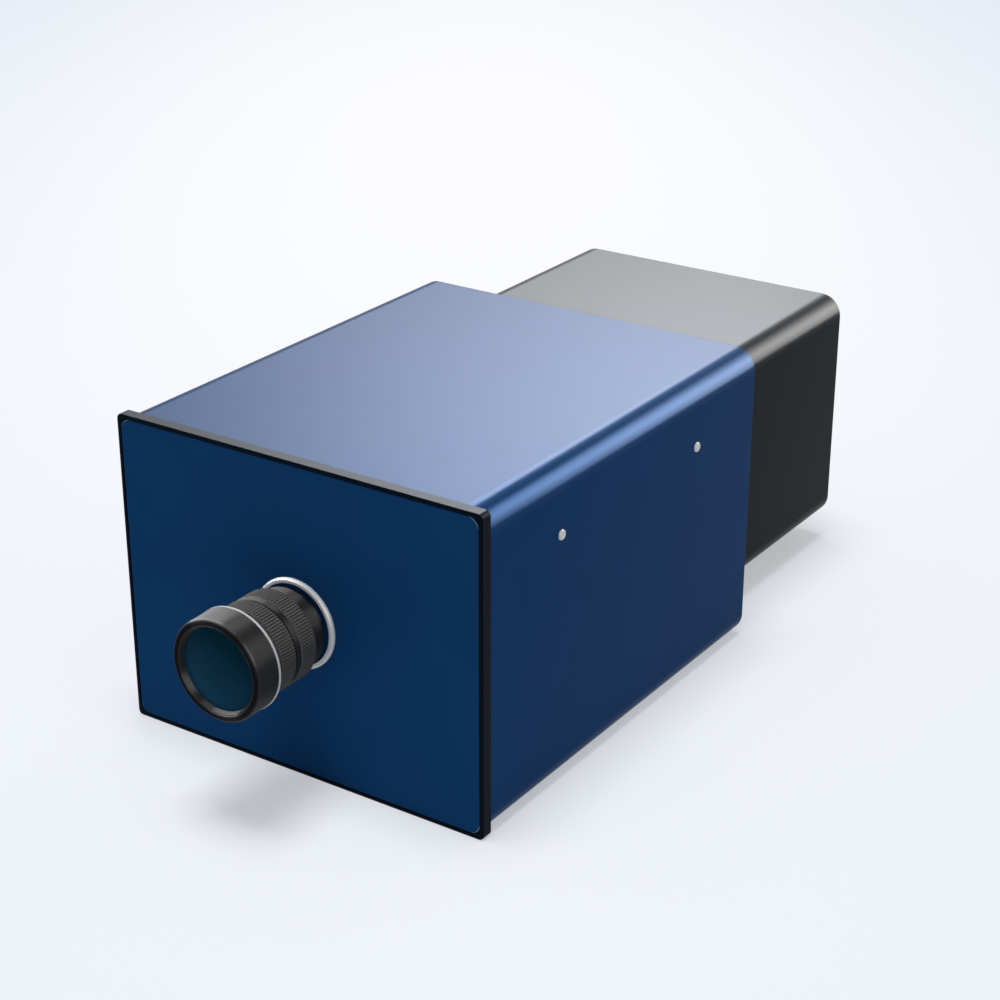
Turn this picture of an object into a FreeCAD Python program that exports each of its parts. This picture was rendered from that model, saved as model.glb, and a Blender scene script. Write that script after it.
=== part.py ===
import FreeCAD, Part
import math
import os

# A push-broom hyperspectral camera: objective lens, slit, prism-grating-prism spectrograph and a cooled
# detector in line on one optical axis. Lengths are millimetres. Y runs from the front frame's face (y = 0)
# to the rear, Z up from the underside (z = 0), X to the right seen from the front of the photo's view.
# The finished pieces are moved along Y so that the origin lies at the mouth of the tripod thread.

V = FreeCAD.Vector

# Main case
body_w = 140.0          # width of the front frame and the main cover
body_h = 108.5          # height of the front frame and the main cover
body_len = 160.6        # length of the main cover behind the frame
body_corner = 8.0       # corner radius of the main cover
wall = 2.0              # wall of the main cover
slot_w = 92.0           # open slot along the cover's underside
slide_fit = 0.1         # clearance between a cover and what it slides over
end_edge = 0.4          # rounding of the end edges of the frame, the main cover and the rear box

# Front frame and panel
frame_t = 4.2
frame_corner = 1.8
rim_w = 1.3             # visible rim of the frame round the panel
panel_t = 1.5
panel_set = 0.1         # depth of the panel's face behind the rim
panel_corner = 3.8
panel_edge = 0.4        # rounding round the panel's face
panel_gap = 0.12        # gap between the panel and the rim

# Bench, rails and bulkhead
bench_w = 118.0
bench_t = 8.0
rail_w = 9.0
rail_h = 12.0
bulkhead_t = 5.0
window_w = 30.0         # bulkhead window that the cold block passes through

# Mounting threads in the underside
thread_y = 90.0         # tripod thread behind the front face
tripod_r = 2.55
pattern_x = 70.0
pattern_y = 80.0
tapped_r = 2.5
thread_depth = 8.0

# Pins that hold the cover to the rails
pin_y = 42.0            # first pin behind the front face
pin_pitch = 83.0
pin_drop = 22.0         # pins below the top of the cover
pin_head_r = 1.7
pin_head_h = 0.7
pin_edge = 0.3          # chamfer round a pin's head
pin_r = 1.3
pin_grip = 6.0          # length of the pin in its rail

# Screws, all of one size
screw_r = 1.5
screw_len = 8.0
screw_head_r = 2.85
screw_head_h = 1.65
screw_key = 2.0         # hexagon socket across its flats
screw_key_depth = 0.9
screw_free = 0.2        # clearance round a screw in a plain hole
thread_fit = 0.02       # clearance in a threaded hole or a bonded seat
bench_screw_x = 40.0

# Objective lens, from the panel to the front
ring_r = 15.3           # bright ring on the panel
ring_bore_r = 13.8
ring_h = 1.3
ring_edge = 0.6
neck_r = 10.5
neck_gap = 0.1
nose_r = 9.0
nose_len = 5.0
lens_standoff = 2.9     # frame's face to the lens collar
collar_r = 13.4
collar_len = 5.6
collar_edge = 0.5
tube_r = 13.2           # fixed tube that the two rings turn on
tube_bore_r = 11.6
run_fit = 0.05          # running clearance of rings, slides and shafts
ring_clear = 0.3        # axial clearance beside a turning ring
iris_len = 6.9
band_r = 15.0           # smooth band between the rings
band_len = 2.0
focus_len = 6.7         # knurled part of the focus ring
skirt_r = 14.4          # plain skirt in front of it
skirt_len = 2.6
knurl_r = 15.2
knurl_depth = 0.4
knurl_pitch = 0.98
knurl_edge = 0.35       # chamfer at the ends of the knurls
head_gap = 0.5          # skirt to the bright accent ring
accent_r = 17.0
accent_len = 0.7
accent_seat_r = 14.5
head_r = 16.8
head_len = 9.1
head_edge = 1.0         # rounding of the head's front edge
head_lip = 0.25         # chamfer inside the head's front edge
head_bore_r = 14.5
head_tube_len = 8.0     # sliding tube of the head inside the fixed tube
head_clear_r = 10.3
front_glass_set = 0.55  # glass behind the head's front edge
front_glass_t = 4.5
front_glass_curve = 80.0
front_glass_back = 46.0  # curve of the glass's rear face
retainer_set = 0.15     # retainer behind the head's front edge
retainer_mouth_r = 14.25  # wide end of the retainer's bevel
retainer_bore_r = 13.65   # narrow end, on the glass
spigot_len = 2.2        # adapter inside the fixed tube
adapter_bore_r = 7.1
rear_glass_t = 4.0
rear_glass_curve = 22.0

# Iris diaphragm
blade_count = 5
blade_t = 0.15
blade_gap = 0.3
blade_in_r = 5.2
blade_out_r = 9.8
blade_sweep = 112.0
pivot_r = 10.4          # circle of the blade pivots
pivot_pin_r = 0.4
lug_r = 0.85
iris_plate_t = 0.5
drive_t = 0.7
drive_in_r = 9.0
drive_pin_r = 0.6
drive_pin_reach = 0.9   # drive pin inside the iris ring
iris_turn = 60.0        # travel of the iris ring, degrees

# Lens mount, shutter and slit
mount_r = 20.0
mount_t = 6.0
mount_screw_r = 15.5
shutter_gap = 2.8       # space for the shutter between mount and bracket
bracket_t = 4.0
bracket_w = 58.0
bracket_rise = 30.0     # bracket above the optical axis
bracket_foot = 12.0
bracket_foot_t = 5.0
aperture_r = 6.5
shutter_x = 17.0        # motor axis beside the optical axis
shutter_z = 17.0        # motor axis above the optical axis
motor_r = 7.0
motor_len = 20.0
shaft_r = 1.0
shaft_grip = 5.0
hub_r = 3.0
hub_len = 1.6
flag_t = 0.5
flag_r = 8.0
flag_arm_w = 5.0
flange_focus = 17.5     # lens seat to the slit
holder_r = 12.7
holder_len = 9.0
holder_bore_r = 8.0
slit_r = 9.5
slit_t = 0.3
slit_w = 0.06
slit_h = 10.0

# Spectrograph
train_gap = 4.0         # gap between neighbours along the optical axis
barrel_r = 14.0
barrel_len = 32.0
barrel_bore_r = 10.5
lens_seat_r = 11.5
optic_t = 7.0
optic_curve = 30.0
optic_depth = 5.0       # lens behind the end of its barrel
cell_w = 36.0
cell_len = 28.0
cell_bore = 26.0
cell_foot_w = 30.0
grating_t = 1.5
prism_thin = 3.0
prism_thick = 9.0
saddle_w = 44.0
saddle_len = 14.0
saddle_split = 0.3
clamp_rise = 5.0        # clamp above the barrel
clamp_screw_x = 18.0

# Detector and cooling
standoff_len = 8.0
standoff_r = 2.5
board_t = 1.6
board_w = 80.0
board_h = 70.0
board_hole = 24.0
board_post_x = 35.0
board_post_z = 30.0
package_w = 40.0
package_h = 36.0
package_t = 8.0
cavity_w = 24.0
cavity_h = 20.0
cavity_depth = 5.0
glass_w = 28.0
glass_h = 24.0
glass_t = 1.0
chip_w = 18.0
chip_h = 14.0
chip_t = 1.0
block_w = 22.0
cooler_w = 30.0
cooler_t = 3.6
sink_w = 72.0
sink_h = 60.0
sink_base = 5.0
sink_post_x = 30.0
sink_post_z = 24.0
fin_count = 10
fin_t = 2.0
fin_len = 24.0

# Rear box
rear_w = 115.5
rear_h = 89.8
rear_len = 92.8
rear_corner = 8.0
rear_wall = 2.0
rear_panel_t = 3.0
post_r = 3.0
post_inset = 7.0        # posts from the inner walls
tab_w = 14.0
tab_t = 2.0
vent_count = 5
vent_w = 3.2
vent_h = 34.0
vent_pitch = 6.4
vent_start = 12.0       # first vent behind the front of the box

# Fan and its grille
fan_w = 60.0
fan_len = 15.0
fan_up = 12.0           # fan above the optical axis
fan_hole = 50.0         # pitch of the fan's screws
fan_bore_r = 28.5
fan_corner = 3.0
fan_tip = 0.8           # blade tip to the bore
fan_hub_r = 12.0
fan_hub_wall = 1.5
fan_shaft_r = 1.5
fan_bearing_r = 3.5
fan_blades = 7
fan_blade_t = 1.2
fan_blade_w = 11.0
fan_blade_tilt = 38.0
strut_w = 4.0
strut_t = 2.0
grille_rings = 4
grille_slot = 3.4
grille_rib = 2.2
grille_start_r = 5.0
grille_gap = 14.0       # rib between two slots of a ring, degrees

# Control board and sockets
main_w = 84.0
main_len = 68.0
main_back = 4.6         # board to the rear panel
plug_w = 18.0           # ribbon plugs
plug_h = 3.0
plug_len = 5.0
ribbon_w = 15.0
ribbon_t = 0.3
ribbon_slot_h = 5.0
jack_w = 16.0
jack_h = 13.5
jack_len = 21.0
jack_proud = 0.6
jack_wall = 1.6
jack_depth = 14.0
jack_key_w = 6.0
jack_key_h = 2.6
socket_x = 28.0         # round sockets beside the jack
socket_up = 7.0         # round sockets above the control board
socket_flange_r = 7.5
socket_flange_t = 2.0
socket_r = 6.5
socket_len = 9.0
socket_bore_r = 5.2
socket_pin_r = 0.5
socket_pin_len = 3.0
socket_pin_circle = 2.6
socket_thread_r = 6.0
socket_nut_r = 7.5
socket_nut_t = 2.5
trigger_r = 4.8
trigger_len = 10.0
trigger_bore_r = 3.4
trigger_lug_r = 0.9
trigger_lug_h = 0.8

# Places worked out from the sizes above
axis_z = body_h / 2
pin_z = body_h - pin_drop
body_end = frame_t + body_len
rear_end = body_end + rear_len
recess = panel_set + panel_t
bench_top = wall + bench_t
inner_w = body_w - 2 * wall
inner_h = body_h - 2 * wall
bulkhead_y = body_end - bulkhead_t
rail_x = inner_w / 2 - slide_fit - rail_w / 2
mount_end = frame_t + mount_t
bracket_y = mount_end + shutter_gap
bracket_end = bracket_y + bracket_t
collimator_y = bracket_end + holder_len + train_gap
cell_y = collimator_y + barrel_len + train_gap
imager_y = cell_y + cell_len + train_gap
cell_mid = cell_y + cell_len / 2
board_y = bulkhead_y - standoff_len - board_t
package_y = board_y - package_t
sink_y = body_end + standoff_len
cooler_y = sink_y - cooler_t
rear_inner_w = rear_w - 2 * rear_wall
rear_inner_h = rear_h - 2 * rear_wall
rear_floor = axis_z - rear_inner_h / 2
rear_face = rear_end - rear_panel_t
post_x = rear_inner_w / 2 - post_inset
post_z = rear_inner_h / 2 - post_inset
fan_z = axis_z + fan_up
fan_y = rear_face - fan_len
main_z = rear_floor + standoff_len
main_top = main_z + board_t
main_end = rear_face - main_back
main_y = main_end - main_len
ribbon_z = main_top + plug_h / 2
socket_z = main_top + socket_up
knurl_root_r = knurl_r - knurl_depth
ring_bore = tube_r + run_fit
head_tube_r = tube_bore_r - run_fit

# Lens stations, negative towards the front
collar_y = -lens_standoff
collar_front = collar_y - collar_len
iris_y = collar_front - ring_clear
iris_front = iris_y - iris_len
band_y = iris_front - ring_clear
band_front = band_y - band_len
focus_y = band_front - ring_clear
focus_front = focus_y - focus_len
skirt_front = focus_front - skirt_len
accent_y = skirt_front - head_gap
head_y = accent_y - accent_len
head_front = head_y - head_len
front_glass_y = head_front + front_glass_set
front_glass_r = head_bore_r - thread_fit
iris_plate_y = collar_front - spigot_len
iris_plate_front = iris_plate_y - iris_plate_t
blade_pitch = blade_t + blade_gap
blades_front = iris_plate_front - blade_count * blade_pitch
drive_y = blades_front - blade_gap
drive_pin_y = drive_y - drive_t / 2


def box(x, y, z, dx, dy, dz):
    """Block from its lowest corner."""
    return Part.makeBox(dx, dy, dz, V(x, y, z))


def block(w, h, y, length, x=0.0, z=axis_z):
    """Block along +Y with its section centred on (x, z)."""
    return box(x - w / 2, y, z - h / 2, w, length, h)


def rounded_bar(w, h, r, y, length, x=0.0, z=axis_z):
    """Bar along +Y with a rounded rectangular section centred on (x, z)."""
    bar = block(w, h, y, length, x, z)
    edges = [edge for edge in bar.Edges if abs(edge.tangentAt(edge.FirstParameter).y) > 0.99]
    return bar.makeFillet(r, edges)


def eased(bar, end, r):
    """Bar with its front (end = min) or rear (end = max) edges rounded."""
    face = end(bar.Faces, key=lambda f: f.CenterOfMass.y)
    return bar.makeFillet(r, face.Edges)


def rod(r, y, length, x=0.0, z=axis_z):
    """Cylinder along +Y."""
    return Part.makeCylinder(r, length, V(x, y, z), V(0, 1, 0))


def tube(r, bore, y, length, x=0.0, z=axis_z):
    """Plain tube along +Y."""
    return rod(r, y, length, x, z).cut(rod(bore, y, length, x, z))


def turned(profile):
    """Solid turned about the optical axis from (y, radius) points."""
    points = [V(0, y, axis_z + r) for y, r in profile]
    face = Part.Face(Part.makePolygon(points + points[:1]))
    return face.revolve(V(0, 0, axis_z), V(0, 1, 0), 360)


def sag(curve, r):
    """Depth of a spherical face of the curve's radius, from its middle to the radius r."""
    return curve - math.sqrt(curve ** 2 - r ** 2)


def spun(shape, angle, x=0.0, z=axis_z):
    """Copy turned about an axis along Y through (x, z)."""
    copy = shape.copy()
    copy.rotate(V(x, 0, z), V(0, 1, 0), angle)
    return copy


def sector(r, bore, sweep, y, length, start=0.0, x=0.0, z=axis_z):
    """Part of a tube along +Y, from the start angle over the sweep, in degrees."""
    wedge = Part.makeCylinder(r, length, V(x, y, z), V(0, 1, 0), sweep)
    return spun(wedge.cut(rod(bore, y, length, x, z)), start, x, z)


def joined(first, *others):
    """One clean solid from touching or overlapping ones."""
    return first.fuse(list(others)).removeSplitter()


def corners(dx, dz, x=0.0, z=axis_z):
    """Four (x, z) places about a centre."""
    return [(x + i * dx, z + k * dz) for i in (-1, 1) for k in (-1, 1)]


def lens_blank(r, y, thickness, front_curve, rear_curve):
    """Glass disc along +Y with convex faces of the two radii, turned from its half section."""
    def front_at(radius):
        return V(0, y + sag(front_curve, radius), axis_z + radius)

    def rear_at(radius):
        return V(0, y + thickness - sag(rear_curve, radius), axis_z + radius)

    front = Part.Arc(front_at(0), front_at(r / 2), front_at(r)).toShape()
    rim = Part.makeLine(front_at(r), rear_at(r))
    rear = Part.Arc(rear_at(r), rear_at(r / 2), rear_at(0)).toShape()
    middle = Part.makeLine(rear_at(0), front_at(0))
    face = Part.Face(Part.Wire([front, rim, rear, middle]))
    return face.revolve(V(0, 0, axis_z), V(0, 1, 0), 360)


def knurled_ring(y, length):
    """Ring with straight grooves round it, bored to run on the fixed tube."""
    count = round(2 * math.pi * knurl_r / knurl_pitch)
    step = 2 * math.pi / count
    points = []
    for i in range(count):
        for turn, r in ((0.0, knurl_r), (0.5, knurl_r), (0.75, knurl_root_r)):
            angle = (i + turn) * step
            points.append(V(r * math.cos(angle), y, axis_z + r * math.sin(angle)))
    teeth = Part.Face(Part.makePolygon(points + points[:1])).extrude(V(0, length, 0))
    end = y + length
    low = knurl_r - knurl_edge
    high = knurl_r + knurl_edge
    cones = turned([(y, ring_bore), (y, low), (y + 2 * knurl_edge, high), (end - 2 * knurl_edge, high),
                    (end, low), (end, ring_bore)])
    return teeth.common(cones)


# Places of the screws: (x, z) pairs

case_seats = [(side * rail_x, pin_z) for side in (-1, 1)]
case_seats += [(side * bench_screw_x, wall + bench_t / 2) for side in (-1, 1)]
mount_seats = corners(mount_screw_r * math.sqrt(0.5), mount_screw_r * math.sqrt(0.5))
post_seats = corners(post_x, post_z)
fan_seats = corners(fan_hole / 2, fan_hole / 2, 0.0, fan_z)
clamp_seats = [(side * clamp_screw_x, y + barrel_len / 2)
               for y in (collimator_y, imager_y) for side in (-1, 1)]
clamp_top = axis_z + barrel_r + clamp_rise
head_depth = screw_head_h + panel_set


def screw(place, direction):
    """Screw with its head's underside at the place, pointing along the direction."""
    shank = Part.makeCylinder(screw_r, screw_len, place, direction)
    head = Part.makeCylinder(screw_head_r, screw_head_h, place, direction * -1)
    return joined(shank, head).cut(key_socket(place - direction * screw_head_h, direction))


def key_socket(place, direction):
    """Hexagon socket from its mouth along the direction, which is square to X."""
    across = V(1, 0, 0)
    upright = direction.cross(across)
    reach = screw_key / math.sqrt(3)
    points = []
    for i in range(6):
        angle = math.radians(60.0 * i)
        points.append(place + across * (reach * math.cos(angle)) + upright * (reach * math.sin(angle)))
    return Part.Face(Part.makePolygon(points + points[:1])).extrude(direction * screw_key_depth)


def free_holes(seats, y, length):
    """Plain screw holes along Y."""
    return [rod(screw_r + screw_free, y, length, x, z) for x, z in seats]


def tapped_holes(seats, y):
    """Threaded holes along Y that take a screw's whole length."""
    return [rod(screw_r + thread_fit, y, screw_len, x, z) for x, z in seats]


def screws():
    back = V(0, 1, 0)
    front = V(0, -1, 0)
    seat_y = recess + head_depth
    rows = [(V(x, seat_y, z), back) for x, z in case_seats + mount_seats]
    rows += [(V(x, body_end, z), front) for x, z in case_seats]
    rows += [(V(x, rear_end, z), front) for x, z in post_seats + fan_seats]
    rows += [(V(x, y, clamp_top), V(0, 0, -1)) for x, y in clamp_seats]
    return Part.makeCompound([screw(place, direction) for place, direction in rows])


# Case


def front_frame():
    plate = eased(rounded_bar(body_w, body_h, frame_corner, 0, frame_t), min, end_edge)
    well = rounded_bar(body_w - 2 * rim_w, body_h - 2 * rim_w, panel_corner, 0, recess)
    seats = case_seats + mount_seats
    heads = [rod(screw_head_r + screw_free, recess, head_depth, x, z) for x, z in seats]
    holes = free_holes(seats, recess, frame_t - recess)
    return plate.cut([well, rod(neck_r + neck_gap, 0, frame_t)] + heads + holes)


def front_panel():
    w = body_w - 2 * (rim_w + panel_gap)
    h = body_h - 2 * (rim_w + panel_gap)
    panel = rounded_bar(w, h, panel_corner - panel_gap, panel_set, panel_t)
    return eased(panel, min, panel_edge).cut(rod(neck_r + neck_gap, 0, recess))


def housing_sleeve():
    outer = eased(rounded_bar(body_w, body_h, body_corner, frame_t, body_len), max, end_edge)
    inner = rounded_bar(inner_w, inner_h, body_corner - wall, frame_t, body_len)
    slot = box(-slot_w / 2, frame_t, 0, slot_w, body_len, wall)
    holes = [pin_hole(side, y) for side in (-1, 1) for y in (pin_y, pin_y + pin_pitch)]
    return outer.cut([inner, slot] + holes)


def pin_hole(side, y):
    """Hole for a cover pin through the cover and into the rail."""
    mouth = V(side * body_w / 2, y, pin_z)
    return Part.makeCylinder(pin_r + thread_fit, wall + pin_grip, mouth, V(-side, 0, 0))


def cover_pin(side, y):
    outward = V(side, 0, 0)
    face = V(side * body_w / 2, y, pin_z)
    head = Part.makeCylinder(pin_head_r, pin_head_h, face, outward)
    rim = [edge for edge in head.Edges if abs(edge.CenterOfMass.x) > body_w / 2 + pin_head_h - pin_edge]
    head = head.makeChamfer(pin_edge, rim)
    return joined(head, Part.makeCylinder(pin_r, wall + pin_grip, face, outward * -1))


def cover_pins():
    places = [(side, y) for side in (-1, 1) for y in (pin_y, pin_y + pin_pitch)]
    return Part.makeCompound([cover_pin(side, y) for side, y in places])


def optical_bench():
    plate = box(-bench_w / 2, frame_t, wall, bench_w, bulkhead_y - frame_t, bench_t)
    land_w = slot_w - 2 * slide_fit
    land = box(-land_w / 2, frame_t, 0, land_w, body_len, wall)
    threads = [Part.makeCylinder(tripod_r, thread_depth, V(0, thread_y, 0))]
    for x, y in corners(pattern_x / 2, pattern_y / 2, 0.0, thread_y):
        threads.append(Part.makeCylinder(tapped_r, thread_depth, V(x, y, 0)))
    ends = tapped_holes(case_seats, recess + head_depth) + tapped_holes(case_seats, body_end - screw_len)
    return joined(plate, land).cut(threads + ends)


def side_rails():
    holes = tapped_holes(case_seats, recess + head_depth) + tapped_holes(case_seats, body_end - screw_len)
    rails = []
    for side in (-1, 1):
        rail = block(rail_w, rail_h, frame_t, bulkhead_y - frame_t, side * rail_x, pin_z)
        pins = [pin_hole(side, y) for y in (pin_y, pin_y + pin_pitch)]
        rails.append(rail.cut(holes + pins))
    return Part.makeCompound(rails)


def rear_bulkhead():
    fit = 2 * slide_fit
    plate = rounded_bar(inner_w - fit, inner_h - fit, body_corner - wall - slide_fit, bulkhead_y, bulkhead_t)
    window = block(window_w, window_w, bulkhead_y, bulkhead_t)
    slot = block(plug_w, ribbon_slot_h, bulkhead_y, bulkhead_t, 0.0, ribbon_z)
    return plate.cut([window, slot] + free_holes(case_seats, bulkhead_y, bulkhead_t))


# Objective lens


def lens_ring():
    foot = panel_set
    top = foot - ring_h
    return turned([(foot, ring_bore_r), (foot, ring_r), (top + ring_edge, ring_r), (top, ring_r - ring_edge),
                   (top, ring_bore_r)])


def lens_adapter():
    nose_end = frame_t + nose_len
    tip = collar_front - spigot_len
    return turned([(nose_end, adapter_bore_r), (nose_end, nose_r), (frame_t, nose_r), (frame_t, neck_r),
                   (collar_y, neck_r), (collar_y, collar_r - collar_edge), (collar_y - collar_edge, collar_r),
                   (collar_front, collar_r), (collar_front, head_tube_r), (tip, head_tube_r),
                   (tip, adapter_bore_r)])


def lens_body():
    front = skirt_front - ring_clear / 2
    body = turned([(collar_front, tube_bore_r), (collar_front, tube_r), (band_y, tube_r), (band_y, band_r),
                   (band_front, band_r), (band_front, tube_r), (front, tube_r), (front, tube_bore_r)])
    side = math.degrees(2 * drive_pin_r / tube_bore_r)
    window = sector(tube_r + run_fit, tube_bore_r - run_fit, iris_turn + 2 * side, drive_pin_y - drive_pin_r
                    - ring_clear, 2 * (drive_pin_r + ring_clear), -side)
    return body.cut(window)


def iris_ring():
    return knurled_ring(iris_front, iris_len).cut(drive_pin(drive_pin_r + thread_fit))


def drive_pin(r):
    """Radial pin from the drive plate into the iris ring, at the start of the ring's travel."""
    start = tube_bore_r - ring_clear
    reach = ring_bore + drive_pin_reach - start
    return Part.makeCylinder(r, reach, V(0, drive_pin_y, axis_z + start), V(0, 0, 1))


def iris_drive():
    plate = tube(tube_bore_r - run_fit, drive_in_r, drive_y - drive_t, drive_t)
    return joined(plate, drive_pin(drive_pin_r))


def iris_housing():
    plate = tube(head_tube_r, blade_in_r, iris_plate_front, iris_plate_t)
    pins = []
    for i in range(blade_count):
        length = (i + 1) * blade_pitch
        pin = rod(pivot_pin_r, iris_plate_front - length, length, 0.0, axis_z + pivot_r)
        pins.append(spun(pin, i * 360.0 / blade_count))
    return joined(plate, *pins)


def iris_blade(i):
    y = iris_plate_front - (i + 1) * blade_pitch
    leaf = sector(blade_out_r, blade_in_r, blade_sweep, y, blade_t)
    lug = rod(lug_r, y, blade_t, 0.0, axis_z + pivot_r)
    arm_low = blade_in_r + lug_r
    arm = box(-lug_r, y, axis_z + arm_low, 2 * lug_r, blade_t, pivot_r - arm_low)
    hole = rod(pivot_pin_r + run_fit, y, blade_t, 0.0, axis_z + pivot_r)
    return spun(joined(leaf, lug, arm).cut(hole), i * 360.0 / blade_count)


def focus_ring():
    skirt = tube(skirt_r, ring_bore, skirt_front, skirt_len)
    return joined(knurled_ring(focus_front, focus_len), skirt)


def accent_ring():
    return tube(accent_r, accent_seat_r + thread_fit, head_y, accent_len)


def front_barrel():
    tail = accent_y + head_tube_len
    seat_y = front_glass_y + front_glass_t - sag(front_glass_back, head_clear_r) + thread_fit
    head = turned([(tail, head_clear_r), (tail, head_tube_r), (accent_y, head_tube_r),
                   (accent_y, accent_seat_r), (head_y, accent_seat_r), (head_y, head_r), (head_front, head_r),
                   (head_front, head_bore_r + head_lip), (head_front + head_lip, head_bore_r),
                   (seat_y, head_bore_r), (seat_y, head_clear_r)])
    rim = [edge for edge in head.Edges if edge.BoundBox.YMax < head_front + head_lip / 2
           and edge.BoundBox.XMax > head_r - head_lip]
    return head.makeFillet(head_edge, rim)


def front_retainer():
    y = head_front + retainer_set
    end = front_glass_y + sag(front_glass_curve, retainer_bore_r) - thread_fit
    return turned([(y, front_glass_r), (y, retainer_mouth_r), (end, retainer_bore_r),
                   (end, front_glass_r)])


def front_element():
    return lens_blank(front_glass_r, front_glass_y, front_glass_t, front_glass_curve, front_glass_back)


def rear_element():
    return lens_blank(adapter_bore_r - thread_fit, frame_t, rear_glass_t, rear_glass_curve, rear_glass_curve)


# Lens mount, shutter and slit


def lens_mount():
    disc = rod(mount_r, frame_t, mount_t).cut(rod(nose_r + thread_fit, frame_t, mount_t))
    return disc.cut(tapped_holes(mount_seats, recess + head_depth))


def slit_bracket():
    top = axis_z + bracket_rise
    plate = box(-bracket_w / 2, bracket_y, bench_top, bracket_w, bracket_t, top - bench_top)
    foot = box(-bracket_w / 2, bracket_end, bench_top, bracket_w, bracket_foot, bracket_foot_t)
    shaft = rod(shaft_r + ring_clear, bracket_y, bracket_t, shutter_x, axis_z + shutter_z)
    return joined(plate, foot).cut([rod(aperture_r, bracket_y, bracket_t), shaft])


def shutter_motor():
    z = axis_z + shutter_z
    case = rod(motor_r, bracket_end, motor_len, shutter_x, z)
    return case.cut(rod(shaft_r + run_fit, bracket_end, shaft_grip + ring_clear, shutter_x, z))


def shutter_arm():
    z = axis_z + shutter_z
    hub_y = mount_end + (shutter_gap - hub_len) / 2
    flag_y = mount_end + (shutter_gap - flag_t) / 2
    reach = math.hypot(shutter_x, shutter_z)
    hub = rod(hub_r, hub_y, hub_len, shutter_x, z)
    shaft = rod(shaft_r, hub_y, bracket_end + shaft_grip - hub_y, shutter_x, z)
    arm = box(-flag_arm_w / 2 + shutter_x, flag_y, z - reach, flag_arm_w, flag_t, reach)
    arm = spun(arm, -math.degrees(math.atan2(-shutter_x, shutter_z)), shutter_x, z)
    return joined(hub, shaft, arm, rod(flag_r, flag_y, flag_t))


def slit_holder():
    seat = frame_t + flange_focus
    holder = tube(holder_r, holder_bore_r, bracket_end, holder_len)
    return holder.cut(rod(slit_r + thread_fit, seat, bracket_end + holder_len - seat))


def slit_plate():
    y = frame_t + flange_focus
    return rod(slit_r, y, slit_t).cut(block(slit_w, slit_h, y, slit_t))


# Spectrograph


def barrel(y, lens_y, seat_end):
    """Lens barrel with a wider seat from one end to the lens."""
    start = min(lens_y, seat_end)
    seat = rod(lens_seat_r, start, abs(seat_end - lens_y))
    return tube(barrel_r, barrel_bore_r, y, barrel_len).cut(seat)


collimator_glass_y = collimator_y + barrel_len - optic_depth - optic_t
imager_glass_y = imager_y + optic_depth


def collimator_barrel():
    return barrel(collimator_y, collimator_glass_y, collimator_y + barrel_len)


def imaging_barrel():
    return barrel(imager_y, imager_glass_y + optic_t, imager_y)


def optic(y):
    return lens_blank(lens_seat_r - thread_fit, y, optic_t, optic_curve, optic_curve)


def prism_cell():
    case = block(cell_w, cell_w, cell_y, cell_len)
    foot = box(-cell_foot_w / 2, cell_y, bench_top, cell_foot_w, cell_len, axis_z - bench_top)
    return joined(case, foot).cut(block(cell_bore, cell_bore, cell_y, cell_len))


def prism(direction):
    """Wedge on one side of the grating, thick at its foot."""
    half = cell_bore / 2 - thread_fit
    face = cell_mid + direction * grating_t / 2
    points = [V(-half, face, axis_z - half), V(-half, face + direction * prism_thick, axis_z - half),
              V(-half, face + direction * prism_thin, axis_z + half), V(-half, face, axis_z + half)]
    return Part.Face(Part.makePolygon(points + points[:1])).extrude(V(2 * half, 0, 0))


def grating_plate():
    side = cell_bore - 2 * thread_fit
    return block(side, side, cell_mid - grating_t / 2, grating_t)


def saddle_pair(make):
    starts = [y + (barrel_len - saddle_len) / 2 for y in (collimator_y, imager_y)]
    return Part.makeCompound([make(y) for y in starts])


def saddle(y):
    low = box(-saddle_w / 2, y, bench_top, saddle_w, saddle_len, axis_z - saddle_split - bench_top)
    return low.cut([rod(barrel_r, y, saddle_len)] + clamp_holes(screw_r + thread_fit))


def clamp(y):
    bottom = axis_z + saddle_split
    high = box(-saddle_w / 2, y, bottom, saddle_w, saddle_len, clamp_top - bottom)
    return high.cut([rod(barrel_r, y, saddle_len)] + clamp_holes(screw_r + screw_free))


def clamp_holes(r):
    """Upright holes for the clamp screws."""
    return [Part.makeCylinder(r, screw_len, V(x, y, clamp_top - screw_len)) for x, y in clamp_seats]


# Detector and cooling


def detector_package():
    case = block(package_w, package_h, package_y, package_t)
    step = block(glass_w + 2 * thread_fit, glass_h + 2 * thread_fit, package_y, glass_t)
    return case.cut([step, block(cavity_w, cavity_h, package_y, cavity_depth)])


def detector_window():
    return block(glass_w, glass_h, package_y, glass_t)


def sensor_array():
    return block(chip_w, chip_h, package_y + cavity_depth - chip_t, chip_t)


def detector_board():
    board = block(board_w, board_h, board_y, board_t)
    plug = block(plug_w, plug_h, board_y + board_t, plug_len, 0.0, ribbon_z)
    return joined(board.cut(block(board_hole, board_hole, board_y, board_t)), plug)


def standoffs():
    posts = [rod(standoff_r, board_y + board_t, standoff_len, x, z)
             for x, z in corners(board_post_x, board_post_z)]
    posts += [rod(standoff_r, body_end, standoff_len, x, z) for x, z in corners(sink_post_x, sink_post_z)]
    inset = 2 * standoff_r
    for x, y in corners(main_w / 2 - inset, main_len / 2 - inset, 0.0, (main_y + main_end) / 2):
        posts.append(Part.makeCylinder(standoff_r, standoff_len, V(x, y, rear_floor)))
    return Part.makeCompound(posts)


def cold_block():
    return block(block_w, block_w, package_y + package_t, cooler_y - package_y - package_t)


def cooler():
    return block(cooler_w, cooler_w, cooler_y, cooler_t)


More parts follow.
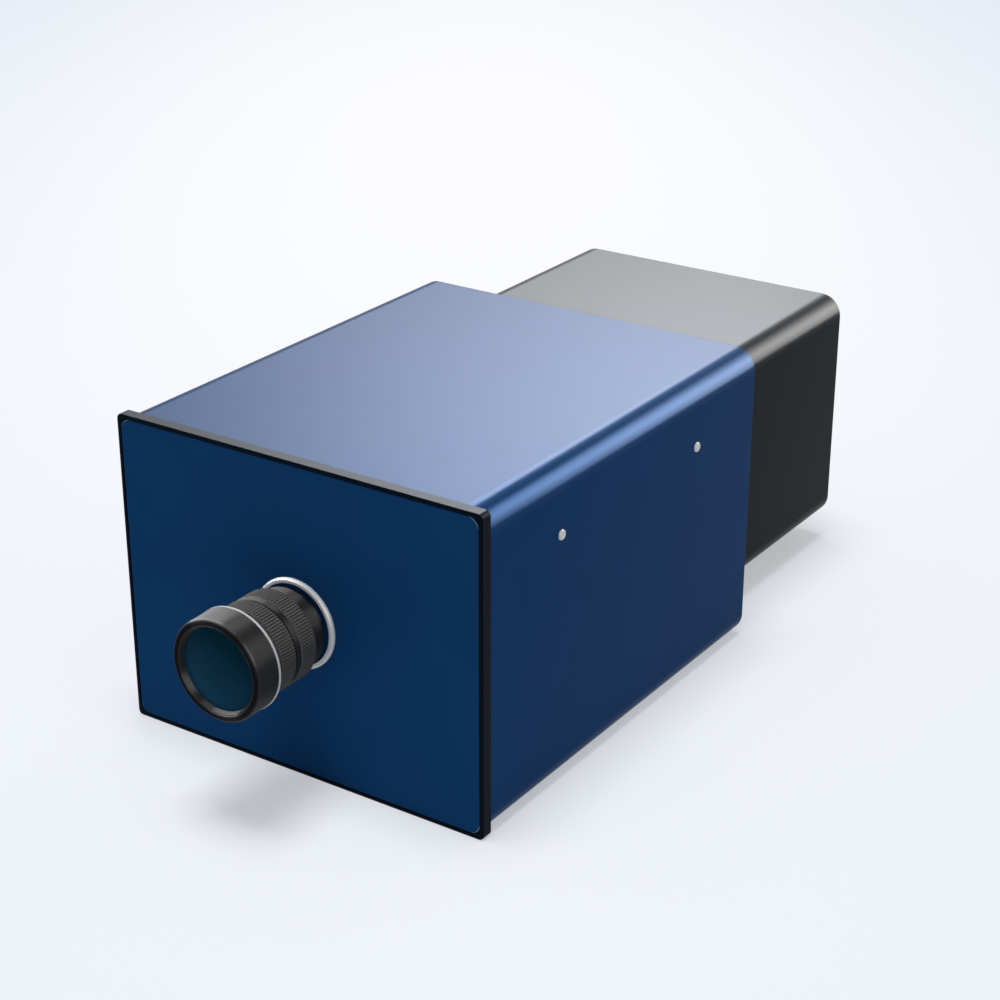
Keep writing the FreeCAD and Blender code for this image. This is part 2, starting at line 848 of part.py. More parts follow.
def heat_sink():
    pitch = (sink_w - fin_t) / (fin_count - 1)
    first = -sink_w / 2 + fin_t / 2
    fins = [block(fin_t, sink_h, sink_y + sink_base, fin_len, first + i * pitch) for i in range(fin_count)]
    return joined(block(sink_w, sink_h, sink_y, sink_base), *fins)


# Rear box


def rear_housing():
    outer = eased(rounded_bar(rear_w, rear_h, rear_corner, body_end, rear_len), max, end_edge)
    inner = rounded_bar(rear_inner_w, rear_inner_h, rear_corner - rear_wall, body_end, rear_len)
    vent_y = [body_end + vent_start + i * vent_pitch for i in range(vent_count)]
    vents = [box(-rear_w / 2, y, axis_z - vent_h / 2, rear_wall, vent_w, vent_h) for y in vent_y]
    tab_x = rear_inner_w / 2 - tab_w / 2
    tab_z = rear_inner_h / 2 - tab_w / 2
    tab_y = rear_face - tab_t
    tabs = [block(tab_w, tab_w, tab_y, tab_t, x, z).common(inner) for x, z in corners(tab_x, tab_z)]
    shell = outer.cut([inner] + vents)
    return joined(shell, *tabs).cut(free_holes(post_seats, tab_y, tab_t))


def rear_posts():
    length = rear_face - tab_t - body_end
    posts = [rod(post_r, body_end, length, x, z) for x, z in post_seats]
    holes = tapped_holes(post_seats, rear_end - screw_len)
    return Part.makeCompound([post.cut(hole) for post, hole in zip(posts, holes)])


def grille():
    """Rings of slots in front of the fan."""
    slots = [rod(grille_start_r - grille_rib, rear_face, rear_panel_t, 0.0, fan_z)]
    sweep = 90.0 - grille_gap
    for ring in range(grille_rings):
        low = grille_start_r + ring * (grille_slot + grille_rib)
        for quarter in range(4):
            start = 90.0 * quarter + grille_gap / 2 + 45.0 * (ring % 2)
            slots.append(sector(low + grille_slot, low, sweep, rear_face, rear_panel_t, start, 0.0, fan_z))
    return slots


def rear_panel():
    fit = 2 * slide_fit
    corner = rear_corner - rear_wall - slide_fit
    plate = rounded_bar(rear_inner_w - fit, rear_inner_h - fit, corner, rear_face, rear_panel_t)
    jack = block(jack_w + fit, jack_h + fit, rear_face, rear_panel_t, 0.0, main_top + jack_h / 2)
    sockets = [rod(socket_thread_r + slide_fit, rear_face, rear_panel_t, side * socket_x, socket_z)
               for side in (-1, 1)]
    holes = free_holes(post_seats + fan_seats, rear_face, rear_panel_t)
    return plate.cut([jack] + sockets + holes + grille())


def fan_frame():
    case = rounded_bar(fan_w, fan_w, fan_corner, fan_y, fan_len, 0.0, fan_z)
    duct = rod(fan_bore_r, fan_y, fan_len, 0.0, fan_z)
    case = case.cut([duct] + tapped_holes(fan_seats, rear_end - screw_len))
    back = fan_y + fan_len - strut_t
    struts = [block(2 * fan_bore_r + strut_t, strut_w, back, strut_t, 0.0, fan_z),
              block(strut_w, 2 * fan_bore_r + strut_t, back, strut_t, 0.0, fan_z)]
    hub = rod(fan_hub_r, back, strut_t, 0.0, fan_z)
    bearing_y = fan_y + fan_hub_wall + 2 * ring_clear
    bearing = rod(fan_bearing_r, bearing_y, fan_y + fan_len - bearing_y, 0.0, fan_z)
    bore = rod(fan_shaft_r + run_fit, fan_y, fan_len - strut_t, 0.0, fan_z)
    return joined(case, hub, bearing, *struts).cut(bore)


def fan_rotor():
    start = fan_y + ring_clear
    hub_len = fan_len - strut_t - 2 * ring_clear
    hub = rod(fan_hub_r, start, hub_len, 0.0, fan_z)
    hub = hub.cut(rod(fan_hub_r - fan_hub_wall, start + fan_hub_wall, hub_len, 0.0, fan_z))
    shaft = rod(fan_shaft_r, start, hub_len, 0.0, fan_z)
    reach = tube(fan_bore_r - fan_tip, fan_hub_r - fan_hub_wall / 2, start, hub_len, 0.0, fan_z)
    middle = start + hub_len / 2
    plate = block(fan_blade_t, fan_bore_r, middle - fan_blade_w / 2, fan_blade_w, 0.0, fan_z + fan_bore_r / 2)
    plate.rotate(V(0, middle, fan_z), V(0, 0, 1), fan_blade_tilt)
    blade = plate.common(reach)
    blades = [spun(blade, i * 360.0 / fan_blades, 0.0, fan_z) for i in range(fan_blades)]
    return joined(hub, shaft, *blades)


# Control board and sockets


def main_board():
    board = box(-main_w / 2, main_y, main_z, main_w, main_len, board_t)
    plug = block(plug_w, plug_h, main_y, plug_len, 0.0, ribbon_z)
    return joined(board, plug)


def ribbon_cable():
    start = board_y + board_t + plug_len
    return block(ribbon_w, ribbon_t, start, main_y - start, 0.0, ribbon_z)


def ethernet_jack():
    end = rear_end + jack_proud
    case = block(jack_w, jack_h, end - jack_len, jack_len, 0.0, main_top + jack_h / 2)
    mouth_h = jack_h - 2 * jack_wall - jack_key_h
    mouth_z = main_top + jack_wall + mouth_h / 2
    mouth = block(jack_w - 2 * jack_wall, mouth_h, end - jack_depth, jack_depth, 0.0, mouth_z)
    key_z = main_top + jack_h - jack_wall - jack_key_h / 2
    key = block(jack_key_w, jack_key_h, end - jack_depth, jack_depth, 0.0, key_z)
    return case.cut([mouth, key])


def panel_socket(x, r, length, bore):
    """Round socket clamped in the rear panel by its flange and nut."""
    flange = rod(socket_flange_r, rear_end, socket_flange_t, x, socket_z)
    shell = rod(r, rear_end, length, x, socket_z)
    thread = rod(socket_thread_r, rear_face - socket_nut_t, socket_nut_t + rear_panel_t, x, socket_z)
    nut = rod(socket_nut_r, rear_face - socket_nut_t, socket_nut_t, x, socket_z)
    return joined(flange, shell, thread, nut).cut(rod(bore, rear_end, length, x, socket_z))


def power_connector():
    pins = [rod(socket_pin_r, rear_end, socket_pin_len, x, z)
            for x, z in corners(socket_pin_circle * math.sqrt(0.5), socket_pin_circle * math.sqrt(0.5),
                                -socket_x, socket_z)]
    return joined(panel_socket(-socket_x, socket_r, socket_len, socket_bore_r), *pins)


def trigger_connector():
    lug_y = rear_end + trigger_len - 2 * trigger_lug_r - trigger_lug_h
    start = trigger_bore_r + (trigger_r - trigger_bore_r) / 2
    lugs = [Part.makeCylinder(trigger_lug_r, trigger_r + trigger_lug_h - start,
                              V(socket_x + side * start, lug_y, socket_z), V(side, 0, 0)) for side in (-1, 1)]
    contact = rod(socket_pin_r, rear_end, trigger_len / 2, socket_x, socket_z)
    return joined(panel_socket(socket_x, trigger_r, trigger_len, trigger_bore_r), contact, *lugs)


pieces = {
    "front_frame": front_frame(),
    "front_panel": front_panel(),
    "housing_sleeve": housing_sleeve(),
    "cover_pins": cover_pins(),
    "optical_bench": optical_bench(),
    "side_rails": side_rails(),
    "rear_bulkhead": rear_bulkhead(),
    "screws": screws(),
    "lens_ring": lens_ring(),
    "lens_adapter": lens_adapter(),
    "lens_body": lens_body(),
    "iris_ring": iris_ring(),
    "iris_drive": iris_drive(),
    "iris_housing": iris_housing(),
    "focus_ring": focus_ring(),
    "accent_ring": accent_ring(),
    "front_barrel": front_barrel(),
    "front_retainer": front_retainer(),
    "front_element": front_element(),
    "rear_element": rear_element(),
    "lens_mount": lens_mount(),
    "slit_bracket": slit_bracket(),
    "shutter_motor": shutter_motor(),
    "shutter_arm": shutter_arm(),
    "slit_holder": slit_holder(),
    "slit_plate": slit_plate(),
    "collimator_barrel": collimator_barrel(),
    "collimator_lens": optic(collimator_glass_y),
    "prism_cell": prism_cell(),
    "entrance_prism": prism(-1),
    "grating_plate": grating_plate(),
    "exit_prism": prism(1),
    "imaging_barrel": imaging_barrel(),
    "imaging_lens": optic(imager_glass_y),
    "barrel_saddles": saddle_pair(saddle),
    "barrel_clamps": saddle_pair(clamp),
    "detector_package": detector_package(),
    "detector_window": detector_window(),
    "sensor_array": sensor_array(),
    "detector_board": detector_board(),
    "standoffs": standoffs(),
    "cold_block": cold_block(),
    "cooler": cooler(),
    "heat_sink": heat_sink(),
    "rear_housing": rear_housing(),
    "rear_posts": rear_posts(),
    "rear_panel": rear_panel(),
    "fan_frame": fan_frame(),
    "fan_rotor": fan_rotor(),
    "main_board": main_board(),
    "ribbon_cable": ribbon_cable(),
    "ethernet_jack": ethernet_jack(),
    "power_connector": power_connector(),
    "trigger_connector": trigger_connector(),
}
for i in range(blade_count):
    pieces["iris_blade_%d" % (i + 1)] = iris_blade(i)

os.makedirs("parts", exist_ok=True)
for node, shape in pieces.items():
    shape.translate(V(0, -thread_y, 0))
    shape.exportStep("parts/%s.step" % node)
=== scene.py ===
import math

import bpy
from mathutils import Matrix, Vector


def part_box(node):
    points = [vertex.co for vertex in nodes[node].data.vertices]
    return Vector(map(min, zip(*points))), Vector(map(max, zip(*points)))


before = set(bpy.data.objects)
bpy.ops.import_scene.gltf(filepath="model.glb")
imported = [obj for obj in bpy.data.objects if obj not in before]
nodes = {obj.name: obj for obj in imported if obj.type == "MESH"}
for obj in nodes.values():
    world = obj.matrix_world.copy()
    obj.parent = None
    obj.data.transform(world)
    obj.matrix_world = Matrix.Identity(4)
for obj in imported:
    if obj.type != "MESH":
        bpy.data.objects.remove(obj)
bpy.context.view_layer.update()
scene = bpy.context.scene

# View of the photograph: angles in degrees, offsets from the foot of the front face in metres
view_azimuth = 33.943
view_elevation = 24.008
view_roll = 0.079
view_right = 0.063148
view_up = 0.087587
view_back = 0.695391
focal_share = 2.177564   # focal length over the width of the image
sensor_mm = 36.0


def place_camera():
    """A camera at the photograph's angle, measured from the foot of the front frame."""
    azimuth = math.radians(view_azimuth)
    elevation = math.radians(view_elevation)
    back = Vector((math.sin(azimuth) * math.cos(elevation), -math.cos(azimuth) * math.cos(elevation),
                   math.sin(elevation)))
    level = Vector((math.cos(azimuth), math.sin(azimuth), 0.0))
    tilt = Matrix.Rotation(math.radians(view_roll), 3, back)
    right = tilt @ level
    up = back.cross(right)
    foot = Vector((0.0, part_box("front_frame")[0].y, 0.0))
    data = bpy.data.cameras.new("photo_camera")
    data.sensor_width = sensor_mm
    data.lens = focal_share * sensor_mm
    camera = bpy.data.objects.new("photo_camera", data)
    axes = Matrix((right, up, back)).transposed()
    centre = foot + right * view_right + up * view_up + back * view_back
    camera.matrix_world = Matrix.Translation(centre) @ axes.to_4x4()
    scene.collection.objects.link(camera)
    scene.camera = camera


# Materials: a surface shader, and the noise that breaks up its colour, gloss and level

noise_range = (0.3, 0.7)         # values of a noise that a change of colour or gloss is spread over
evenly = (1.0, 1.0, 1.0)         # a noise with the same lumps in all directions
turned_lines = (1.0, 30.0, 1.0)  # a noise drawn into lines round the lens axis
across_lines = 0.25              # turn that draws the gloss out along the lens axis
usual_gloss = 0.5                # Blender's own level of gloss
front_range = (-1.0, -0.6)       # Y of faces that look to the front
# The corner fillets picked out below get a painted highlight
corner_range = (0.02, 0.15)      # X times Z of faces on the rounded edge at a plate's corner
edge_sideways = (0.35, 0.6)      # X of faces on a rounded edge between a top and a side
edge_upwards = (0.0, 0.2)        # and their Z
painted_shade_direction = (0.45, 0.0, 0.9)  # way along which the painted shade on the glass deepens
painted_shade_range = (0.25, 1.0)         # and the share of the glass over which it does


def new_material(name, colour, roughness, metallic=0.0, ior=1.5):
    """A material with its even values set on the shader's own sockets."""
    made = bpy.data.materials.new(name)
    made.use_nodes = True
    surface = made.node_tree.nodes["Principled BSDF"].inputs
    surface["Base Color"].default_value = (*colour, 1.0)
    surface["Roughness"].default_value = roughness
    surface["Metallic"].default_value = metallic
    surface["IOR"].default_value = ior
    return made


def surface_of(made):
    """The sockets of a material's surface shader."""
    return made.node_tree.nodes["Principled BSDF"].inputs


def noise(made, per_metre, detail, stretch):
    """The value of a noise in the part's own frame, with that many lumps to the metre."""
    tree = made.node_tree
    place = tree.nodes.new("ShaderNodeTexCoord")
    scale = tree.nodes.new("ShaderNodeMapping")
    scale.inputs["Scale"].default_value = stretch
    cloud = tree.nodes.new("ShaderNodeTexNoise")
    cloud.inputs["Scale"].default_value = per_metre
    cloud.inputs["Detail"].default_value = detail
    tree.links.new(place.outputs["Object"], scale.inputs["Vector"])
    tree.links.new(scale.outputs["Vector"], cloud.inputs["Vector"])
    return cloud.outputs["Fac"]


def math_node(tree, operation, *values):
    """The result of a sum on one or two values."""
    node = tree.nodes.new("ShaderNodeMath")
    node.operation = operation
    for index, value in enumerate(values):
        tree.links.new(value, node.inputs[index])
    return node.outputs[0]


def ramp(made, value, span, low, high):
    """A value's span mapped to low and high."""
    ranged = made.node_tree.nodes.new("ShaderNodeMapRange")
    for name, number in (("From Min", span[0]), ("From Max", span[1]), ("To Min", low), ("To Max", high)):
        ranged.inputs[name].default_value = number
    made.node_tree.links.new(value, ranged.inputs["Value"])
    return ranged.outputs["Result"]


def two_tones(tree, value, span, first, last):
    """A colour that goes from the first to the last over a value's span."""
    tones = tree.nodes.new("ShaderNodeValToRGB")
    for stop, position, colour in zip(tones.color_ramp.elements, span, (first, last)):
        stop.position = position
        stop.color = (*colour, 1.0)
    tree.links.new(value, tones.inputs["Fac"])
    return tones.outputs["Color"]


def mottle(made, per_metre, low, high):
    """Gloss that wanders between two roughnesses."""
    gloss = ramp(made, noise(made, per_metre, 3.0, evenly), noise_range, low, high)
    made.node_tree.links.new(gloss, surface_of(made)["Roughness"])


def tint(made, per_metre, dark, light):
    """Colour that wanders between two close tones."""
    tree = made.node_tree
    tone = two_tones(tree, noise(made, per_metre, 2.0, evenly), noise_range, dark, light)
    tree.links.new(tone, surface_of(made)["Base Color"])


def grain(made, per_metre, height, strength=0.3, stretch=evenly):
    """Fine relief of that height in metres."""
    tree = made.node_tree
    relief = tree.nodes.new("ShaderNodeBump")
    relief.inputs["Strength"].default_value = strength
    relief.inputs["Distance"].default_value = height
    tree.links.new(noise(made, per_metre, 3.0, stretch), relief.inputs["Height"])
    tree.links.new(relief.outputs["Normal"], surface_of(made)["Normal"])


def shade(colour, factor):
    """A darker or lighter tone of a colour."""
    return tuple(part * factor for part in colour)


def facing(made):
    """The part's own X, Y and Z components of the way that a face looks."""
    tree = made.node_tree
    place = tree.nodes.new("ShaderNodeTexCoord")
    parts = tree.nodes.new("ShaderNodeSeparateXYZ")
    tree.links.new(place.outputs["Normal"], parts.inputs["Vector"])
    return parts.outputs


def coated_metal(name, colour, roughness, metallic, ior):
    """Sheet metal with a fine satin coat."""
    made = new_material(name, colour, roughness, metallic, ior)
    tint(made, per_metre=60.0, dark=shade(colour, 0.97), light=shade(colour, 1.03))
    mottle(made, per_metre=700.0, low=roughness - 0.006, high=roughness + 0.006)
    grain(made, per_metre=4000.0, height=0.000004)
    return made


def turned_metal(name, colour, roughness, metallic, ior, brushed):
    """Metal with a lathe's fine lines round the lens axis, that draw its gloss out along the axis."""
    made = new_material(name, colour, roughness, metallic, ior)
    mottle(made, per_metre=300.0, low=roughness - 0.02, high=roughness + 0.03)
    grain(made, per_metre=300.0, height=0.000006, strength=0.2, stretch=turned_lines)
    around = made.node_tree.nodes.new("ShaderNodeTangent")
    around.direction_type = "RADIAL"
    around.axis = "Y"
    surface_of(made)["Anisotropic"].default_value = brushed
    surface_of(made)["Anisotropic Rotation"].default_value = across_lines
    made.node_tree.links.new(around.outputs["Tangent"], surface_of(made)["Tangent"])
    return made


def glass(name, colour, ior, clear):
    """Polished glass that lets that share of the light through."""
    made = new_material(name, colour, roughness=0.02, ior=ior)
    surface_of(made)["Transmission Weight"].default_value = clear
    mottle(made, per_metre=200.0, low=0.01, high=0.03)
    return made


def shaded_glass(name, dark, light, ior, clear):
    """Glass with painted shade: its colour deepens from the lower left of its face to the upper right."""
    made = glass(name, dark, ior, clear)
    tree = made.node_tree
    place = tree.nodes.new("ShaderNodeTexCoord")
    along = tree.nodes.new("ShaderNodeVectorMath")
    along.operation = "DOT_PRODUCT"
    along.inputs[1].default_value = painted_shade_direction
    tree.links.new(place.outputs["Generated"], along.inputs[0])
    tone = two_tones(tree, along.outputs["Value"], painted_shade_range, light, dark)
    tree.links.new(tone, surface_of(made)["Base Color"])
    return made


def plain(name, colour, roughness, metallic):
    """A moulded or machined piece of the back or the inside."""
    made = new_material(name, colour, roughness, metallic)
    tint(made, per_metre=150.0, dark=shade(colour, 0.93), light=shade(colour, 1.07))
    mottle(made, per_metre=400.0, low=roughness - 0.05, high=roughness + 0.05)
    grain(made, per_metre=3000.0, height=0.00001)
    return made


def matt_front(made, level):
    """Gloss that falls to a level on the faces to the front."""
    gloss = ramp(made, facing(made)["Y"], front_range, level, usual_gloss)
    made.node_tree.links.new(gloss, surface_of(made)["Specular IOR Level"])


def painted_corner_highlights(made, pale):
    """A painted highlight: the paint turned pale on the rounded edge at the corners of a plate."""
    tree = made.node_tree
    paint = surface_of(made)["Base Color"].links[0].from_socket
    parts = facing(made)
    corner = math_node(tree, "ABSOLUTE", math_node(tree, "MULTIPLY", parts["X"], parts["Z"]))
    # The pale colour is a painted highlight on the corner fillets
    highlighted = tree.nodes.new("ShaderNodeMixRGB")
    highlighted.inputs["Color2"].default_value = (*pale, 1.0)
    tree.links.new(ramp(made, corner, corner_range, 0.0, 1.0), highlighted.inputs["Fac"])
    tree.links.new(paint, highlighted.inputs["Color1"])
    tree.links.new(highlighted.outputs["Color"], surface_of(made)["Base Color"])


def bright_edges(made, flat_gloss, edge_metal):
    """More gloss on the rounded edges between the top and the sides than on the flat faces."""
    tree = made.node_tree
    surface = surface_of(made)
    flat_metal = surface["Metallic"].default_value
    parts = facing(made)
    sideways = ramp(made, math_node(tree, "ABSOLUTE", parts["X"]), edge_sideways, 0.0, 1.0)
    upwards = ramp(made, parts["Z"], edge_upwards, 0.0, 1.0)
    edge = math_node(tree, "MULTIPLY", sideways, upwards)
    whole = (0.0, 1.0)
    tree.links.new(ramp(made, edge, whole, flat_gloss, 1.0), surface["Specular IOR Level"])
    tree.links.new(ramp(made, edge, whole, flat_metal, edge_metal), surface["Metallic"])


# Colour, roughness, metallic and refractive index
coated_finishes = {
    "cover_blue": ((0.0003, 0.0352, 0.12), 0.24, 0.063, 1.085),
    "panel_blue": ((0.0064, 0.045, 0.134), 0.32, 0.0, 1.03),
    "frame_black": ((0.002, 0.005, 0.01), 0.36, 0.14, 1.07),
    "rear_black": ((0.001, 0.0038, 0.0065), 0.28, 0.145, 1.0954),
}
# Colour, roughness, metallic, refractive index and how far the gloss is drawn out
turned_finishes = {
    "lens_black": ((0.0035, 0.0035, 0.0042), 0.44, 0.0, 1.36, 0.95),
    "knurl_black": ((0.084, 0.084, 0.081), 0.55, 0.0, 1.15, 0.0),
    "bright_metal": ((0.6, 0.6, 0.615), 0.38, 0.03, 1.25, 0.0),
    "retainer_black": ((0.004, 0.004, 0.004), 0.44, 0.0, 1.32, 0.95),
}
# Colour, roughness and metallic
plain_finishes = {
    "steel": ((0.5, 0.5, 0.5), 0.3, 1.0),
    "blade_black": ((0.02, 0.02, 0.02), 0.5, 0.4),
    "aluminium": ((0.62, 0.63, 0.64), 0.4, 1.0),
    "black_anodised": ((0.02, 0.02, 0.022), 0.45, 0.3),
    "motor_steel": ((0.45, 0.45, 0.46), 0.35, 1.0),
    "package_metal": ((0.6, 0.55, 0.4), 0.35, 1.0),
    "silicon": ((0.05, 0.06, 0.09), 0.15, 0.6),
    "copper": ((0.72, 0.4, 0.25), 0.35, 1.0),
    "cooler_white": ((0.75, 0.74, 0.7), 0.6, 0.0),
    "board_green": ((0.02, 0.12, 0.05), 0.4, 0.0),
    "ribbon_grey": ((0.35, 0.35, 0.36), 0.5, 0.0),
    "fan_black": ((0.02, 0.02, 0.02), 0.5, 0.0),
    "socket_metal": ((0.6, 0.6, 0.6), 0.3, 1.0),
}


def make_finishes():
    """A material for each material slot of the record."""
    made = {}
    for name, values in coated_finishes.items():
        made[name] = coated_metal(name, *values)
    for name, values in turned_finishes.items():
        made[name] = turned_metal(name, *values)
    for name, values in plain_finishes.items():
        made[name] = plain(name, *values)
    # The lens glass carries painted shade, lighter at the lower left and darker to the upper right
    made["lens_glass"] = shaded_glass("lens_glass", dark=(0.001, 0.026, 0.05), light=(0.008, 0.06, 0.115),
                                      ior=1.06, clear=0.3)
    made["clear_glass"] = glass("clear_glass", (0.9, 0.95, 0.95), ior=1.5, clear=1.0)
    bright_edges(made["cover_blue"], flat_gloss=0.307, edge_metal=0.14)
    bright_edges(made["rear_black"], flat_gloss=0.307, edge_metal=0.16)
    matt_front(made["lens_black"], level=0.05)
    # The front panel's corner fillets get a painted highlight
    painted_corner_highlights(made["panel_blue"], pale=(0.3, 0.45, 0.75))
    return made


def dress_nodes():
    """Each CAD node gets the finish that its slots are named after."""
    finishes = make_finishes()
    for node in nodes.values():
        for place in node.material_slots:
            place.material = finishes[place.name.split(".")[0]]


# Stage: a pale floor, white behind the part and faintly blue towards the edges of the view

floor_size = 40.0
floor_white = (0.965, 0.967, 0.985)
floor_edge = (0.768, 0.83, 0.913)
fade_across = 0.6        # reach of the white patch, in metres across the view and along it
fade_along = 1.7
fade_ahead = 0.726       # middle of the white patch beyond the part's origin
floor_glow = 0.48        # share of the floor's own white where the camera sees it


def seen_rays(tree):
    """1 for rays that show the floor or the sky to the camera, straight or by gloss or glass."""
    path = tree.nodes.new("ShaderNodeLightPath")
    seen = path.outputs["Is Camera Ray"]
    for name in ("Is Glossy Ray", "Is Transmission Ray"):
        seen = math_node(tree, "MAXIMUM", seen, path.outputs[name])
    return seen


def floor_tone(tree):
    """White in a long patch along the view, pale blue outside it."""
    azimuth = math.radians(view_azimuth)
    middle = Vector((-math.sin(azimuth), math.cos(azimuth), 0.0)) * fade_ahead
    place = tree.nodes.new("ShaderNodeTexCoord")
    patch = tree.nodes.new("ShaderNodeMapping")
    patch.vector_type = "TEXTURE"
    patch.inputs["Location"].default_value = middle
    patch.inputs["Rotation"].default_value = (0.0, 0.0, azimuth)
    patch.inputs["Scale"].default_value = (fade_across, fade_along, 1.0)
    fade = tree.nodes.new("ShaderNodeTexGradient")
    fade.gradient_type = "SPHERICAL"
    tones = tree.nodes.new("ShaderNodeValToRGB")
    tones.color_ramp.interpolation = "EASE"
    tones.color_ramp.elements[0].color = (*floor_edge, 1.0)
    tones.color_ramp.elements[1].color = (*floor_white, 1.0)
    tree.links.new(place.outputs["Object"], patch.inputs["Vector"])
    tree.links.new(patch.outputs["Vector"], fade.inputs["Vector"])
    tree.links.new(fade.outputs["Fac"], tones.inputs["Fac"])
    return tones.outputs["Color"]


def floor_material():
    """A matt floor that takes the shadows, with a share of even white where the camera sees it."""
    made = bpy.data.materials.new("floor")
    made.use_nodes = True
    tree = made.node_tree
    tree.nodes.remove(tree.nodes["Principled BSDF"])
    tone = floor_tone(tree)
    matt = tree.nodes.new("ShaderNodeBsdfDiffuse")
    glow = tree.nodes.new("ShaderNodeEmission")
    share = tree.nodes.new("ShaderNodeMath")
    share.operation = "MULTIPLY"
    share.inputs[1].default_value = floor_glow
    both = tree.nodes.new("ShaderNodeMixShader")
    tree.links.new(tone, matt.inputs["Color"])
    tree.links.new(tone, glow.inputs["Color"])
    tree.links.new(seen_rays(tree), share.inputs[0])
    tree.links.new(share.outputs[0], both.inputs["Fac"])
    tree.links.new(matt.outputs["BSDF"], both.inputs[1])
    tree.links.new(glow.outputs["Emission"], both.inputs[2])
    tree.links.new(both.outputs["Shader"], tree.nodes["Material Output"].inputs["Surface"])
    return made


def lay_floor():
    """A wide square floor under the part."""
    half = floor_size / 2
    mesh = bpy.data.meshes.new("floor")
    corners = [(-half, -half, 0.0), (half, -half, 0.0), (half, half, 0.0), (-half, half, 0.0)]
    mesh.from_pydata(corners, [], [(0, 1, 2, 3)])
    mesh.materials.append(floor_material())
    floor = bpy.data.objects.new("floor", mesh)
    scene.collection.objects.link(floor)


# Light: a wide lamp overhead, an even sky, and softboxes that show only in reflections

light_middle = Vector((0.0, 0.0, 0.05))
sky_level = 0.35
sky_white = 1.0          # level of the sky where the camera sees it
key_place = Vector((-0.1, -0.3, 6.0))
key_size = 2.4
key_watts = 262.0
softbox_distance = 2.0
cool_white = (1.0, 1.015, 1.05)
warm_white = (1.01, 0.98, 0.93)
plain_white = (1.0, 1.0, 1.0)

# Shares of a softbox's light, from its right edge to its left and from its foot to its head
left_across = (0.1, 0.12, 0.16, 1.4, 1.22, 0.88, 0.47, 0.2, 0.12)
left_upwards = (0.35, 1.725, 2.4)
right_across = (0.0, 0.0, 0.06, 0.56, 0.94, 0.78, 0.35, 0.19, 0.1)
right_upwards = (0.6, 0.66, 0.94, 1.25, 1.05, 0.74, 0.6)
window_across = (0.2, 0.5, 1.0, 2.0, 3.4)
even_shares = (1.0, 1.0)

# Azimuth and elevation, half the width and half the height (all in degrees), radiance, shares and colour
cover_softboxes = {
    "left_softbox": (-29.0, 31.0, 24.0, 14.0, 15.0, left_across, left_upwards, cool_white),
    "right_softbox": (33.5, 18.0, 30.0, 19.4, 25.6, right_across, right_upwards, warm_white),
}
lens_softboxes = {
    "edge_softbox": (33.5, 18.0, 30.0, 19.4, 36.4, right_across, right_upwards, warm_white),
    "window_softbox": (-88.0, 38.0, 34.0, 32.0, 9.2, window_across, even_shares, plain_white),
    "front_softbox": (132.0, 24.0, 9.0, 20.0, 20.0, even_shares, even_shares, plain_white),
}

# The softboxes reach only these pieces, so that other metal and the covers' tops don't mirror all of them
cover_pieces = ("housing_sleeve", "rear_housing", "front_frame")
lens_pieces = ("front_panel", "cover_pins", "lens_ring", "lens_adapter", "lens_body", "iris_ring",
               "focus_ring", "accent_ring", "front_barrel", "front_retainer", "front_element", "rear_element")


def area_lamp(name, centre, width, height, watts):
    """A flat lamp that looks at the middle of the part."""
    data = bpy.data.lights.new(name, "AREA")
    data.shape = "RECTANGLE"
    data.size = width
    data.size_y = height
    data.energy = watts
    lamp = bpy.data.objects.new(name, data)
    turn = (centre - light_middle).to_track_quat("Z", "Y").to_matrix()
    lamp.matrix_world = Matrix.Translation(centre) @ turn.to_4x4()
    scene.collection.objects.link(lamp)
    return lamp


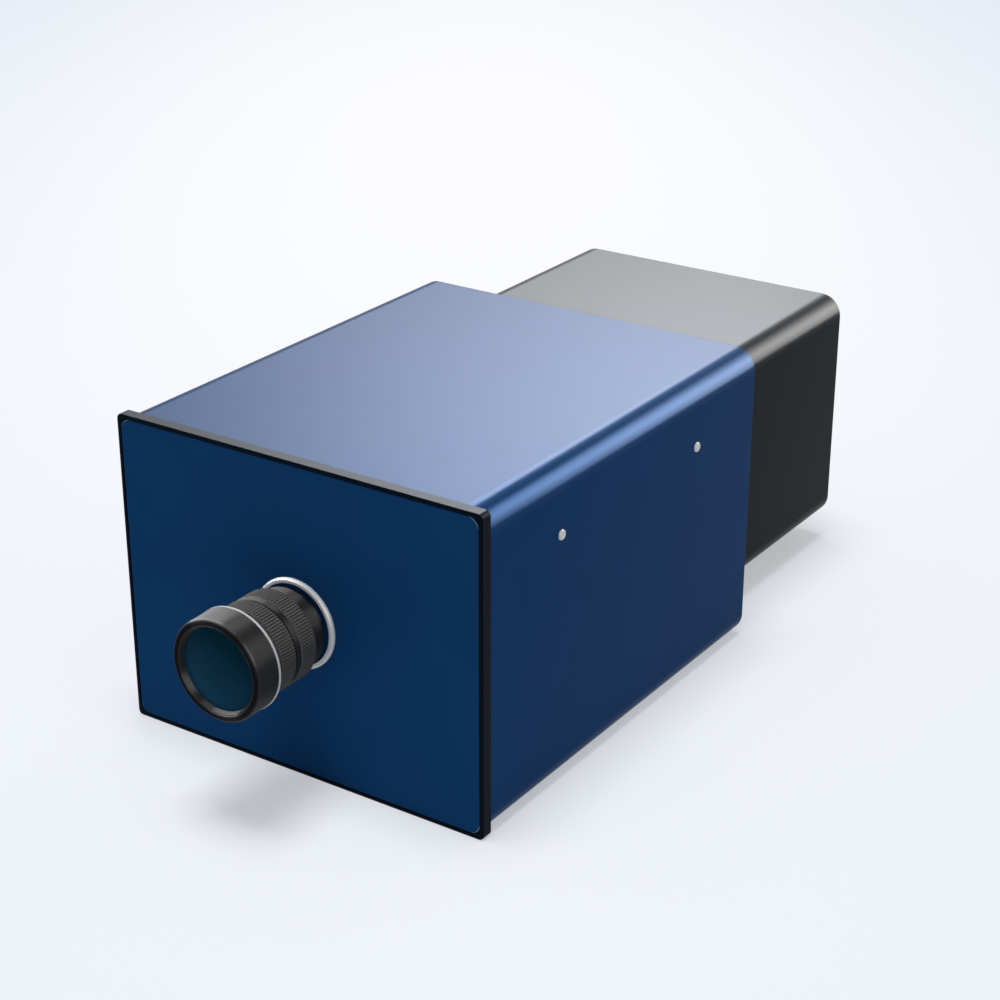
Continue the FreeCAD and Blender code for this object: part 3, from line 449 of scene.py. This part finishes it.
def grade(lamp, across, upwards):
    """Strength by two rows of shares, evenly spaced from right to left and from foot to head."""
    lamp.data.use_nodes = True
    tree = lamp.data.node_tree
    place = tree.nodes.new("ShaderNodeNewGeometry")
    spot = tree.nodes.new("ShaderNodeSeparateXYZ")
    tree.links.new(place.outputs["Parametric"], spot.inputs["Vector"])
    for axis, shares, socket in (("X", across, "Color"), ("Y", upwards, "Strength")):
        tones = tree.nodes.new("ShaderNodeValToRGB")
        stops = tones.color_ramp.elements
        while len(stops) < len(shares):
            stops.new(1.0)
        for index, share in enumerate(shares):
            stops[index].position = index / (len(shares) - 1)
            stops[index].color = (share, share, share, 1.0)
        tree.links.new(spot.outputs[axis], tones.inputs["Fac"])
        tree.links.new(tones.outputs["Color"], tree.nodes["Emission"].inputs[socket])


def reach_only(lamp, names):
    """Light that reaches only the named pieces."""
    reached = bpy.data.collections.new(lamp.name + "_reach")
    for name in names:
        reached.objects.link(nodes[name])
    lamp.light_linking.receiver_collection = reached


def softbox(name, azimuth, elevation, half_width, half_height, radiance, across, upwards, colour):
    """A lamp in a direction, in degrees from +Y towards +X and up, that only glossy rays see."""
    turn = math.radians(azimuth)
    rise = math.radians(elevation)
    toward = Vector((math.sin(turn) * math.cos(rise), math.cos(turn) * math.cos(rise), math.sin(rise)))
    width = 2 * softbox_distance * math.tan(math.radians(half_width))
    height = 2 * softbox_distance * math.tan(math.radians(half_height))
    watts = radiance * math.pi * width * height
    lamp = area_lamp(name, light_middle + toward * softbox_distance, width, height, watts)
    lamp.data.color = colour
    lamp.visible_diffuse = False
    lamp.visible_camera = False
    grade(lamp, across, upwards)
    return lamp


def light_sky():
    """An even sky that is white where the camera sees it."""
    world = bpy.data.worlds.new("sky")
    world.use_nodes = True
    tree = world.node_tree
    sky = tree.nodes["Background"].inputs
    sky["Color"].default_value = (*plain_white, 1.0)
    level = tree.nodes.new("ShaderNodeMapRange")
    level.inputs["To Min"].default_value = sky_level
    level.inputs["To Max"].default_value = sky_white
    tree.links.new(seen_rays(tree), level.inputs["Value"])
    tree.links.new(level.outputs["Result"], sky["Strength"])
    scene.world = world


def light_stage():
    """The sky, the lamp overhead and the softboxes."""
    light_sky()
    area_lamp("key_lamp", key_place, key_size, key_size, key_watts)
    for name, values in cover_softboxes.items():
        reach_only(softbox(name, *values), cover_pieces + lens_pieces)
    for name, values in lens_softboxes.items():
        reach_only(softbox(name, *values), lens_pieces)


place_camera()
dress_nodes()
lay_floor()
light_stage()
scene.view_settings.view_transform = "Standard"
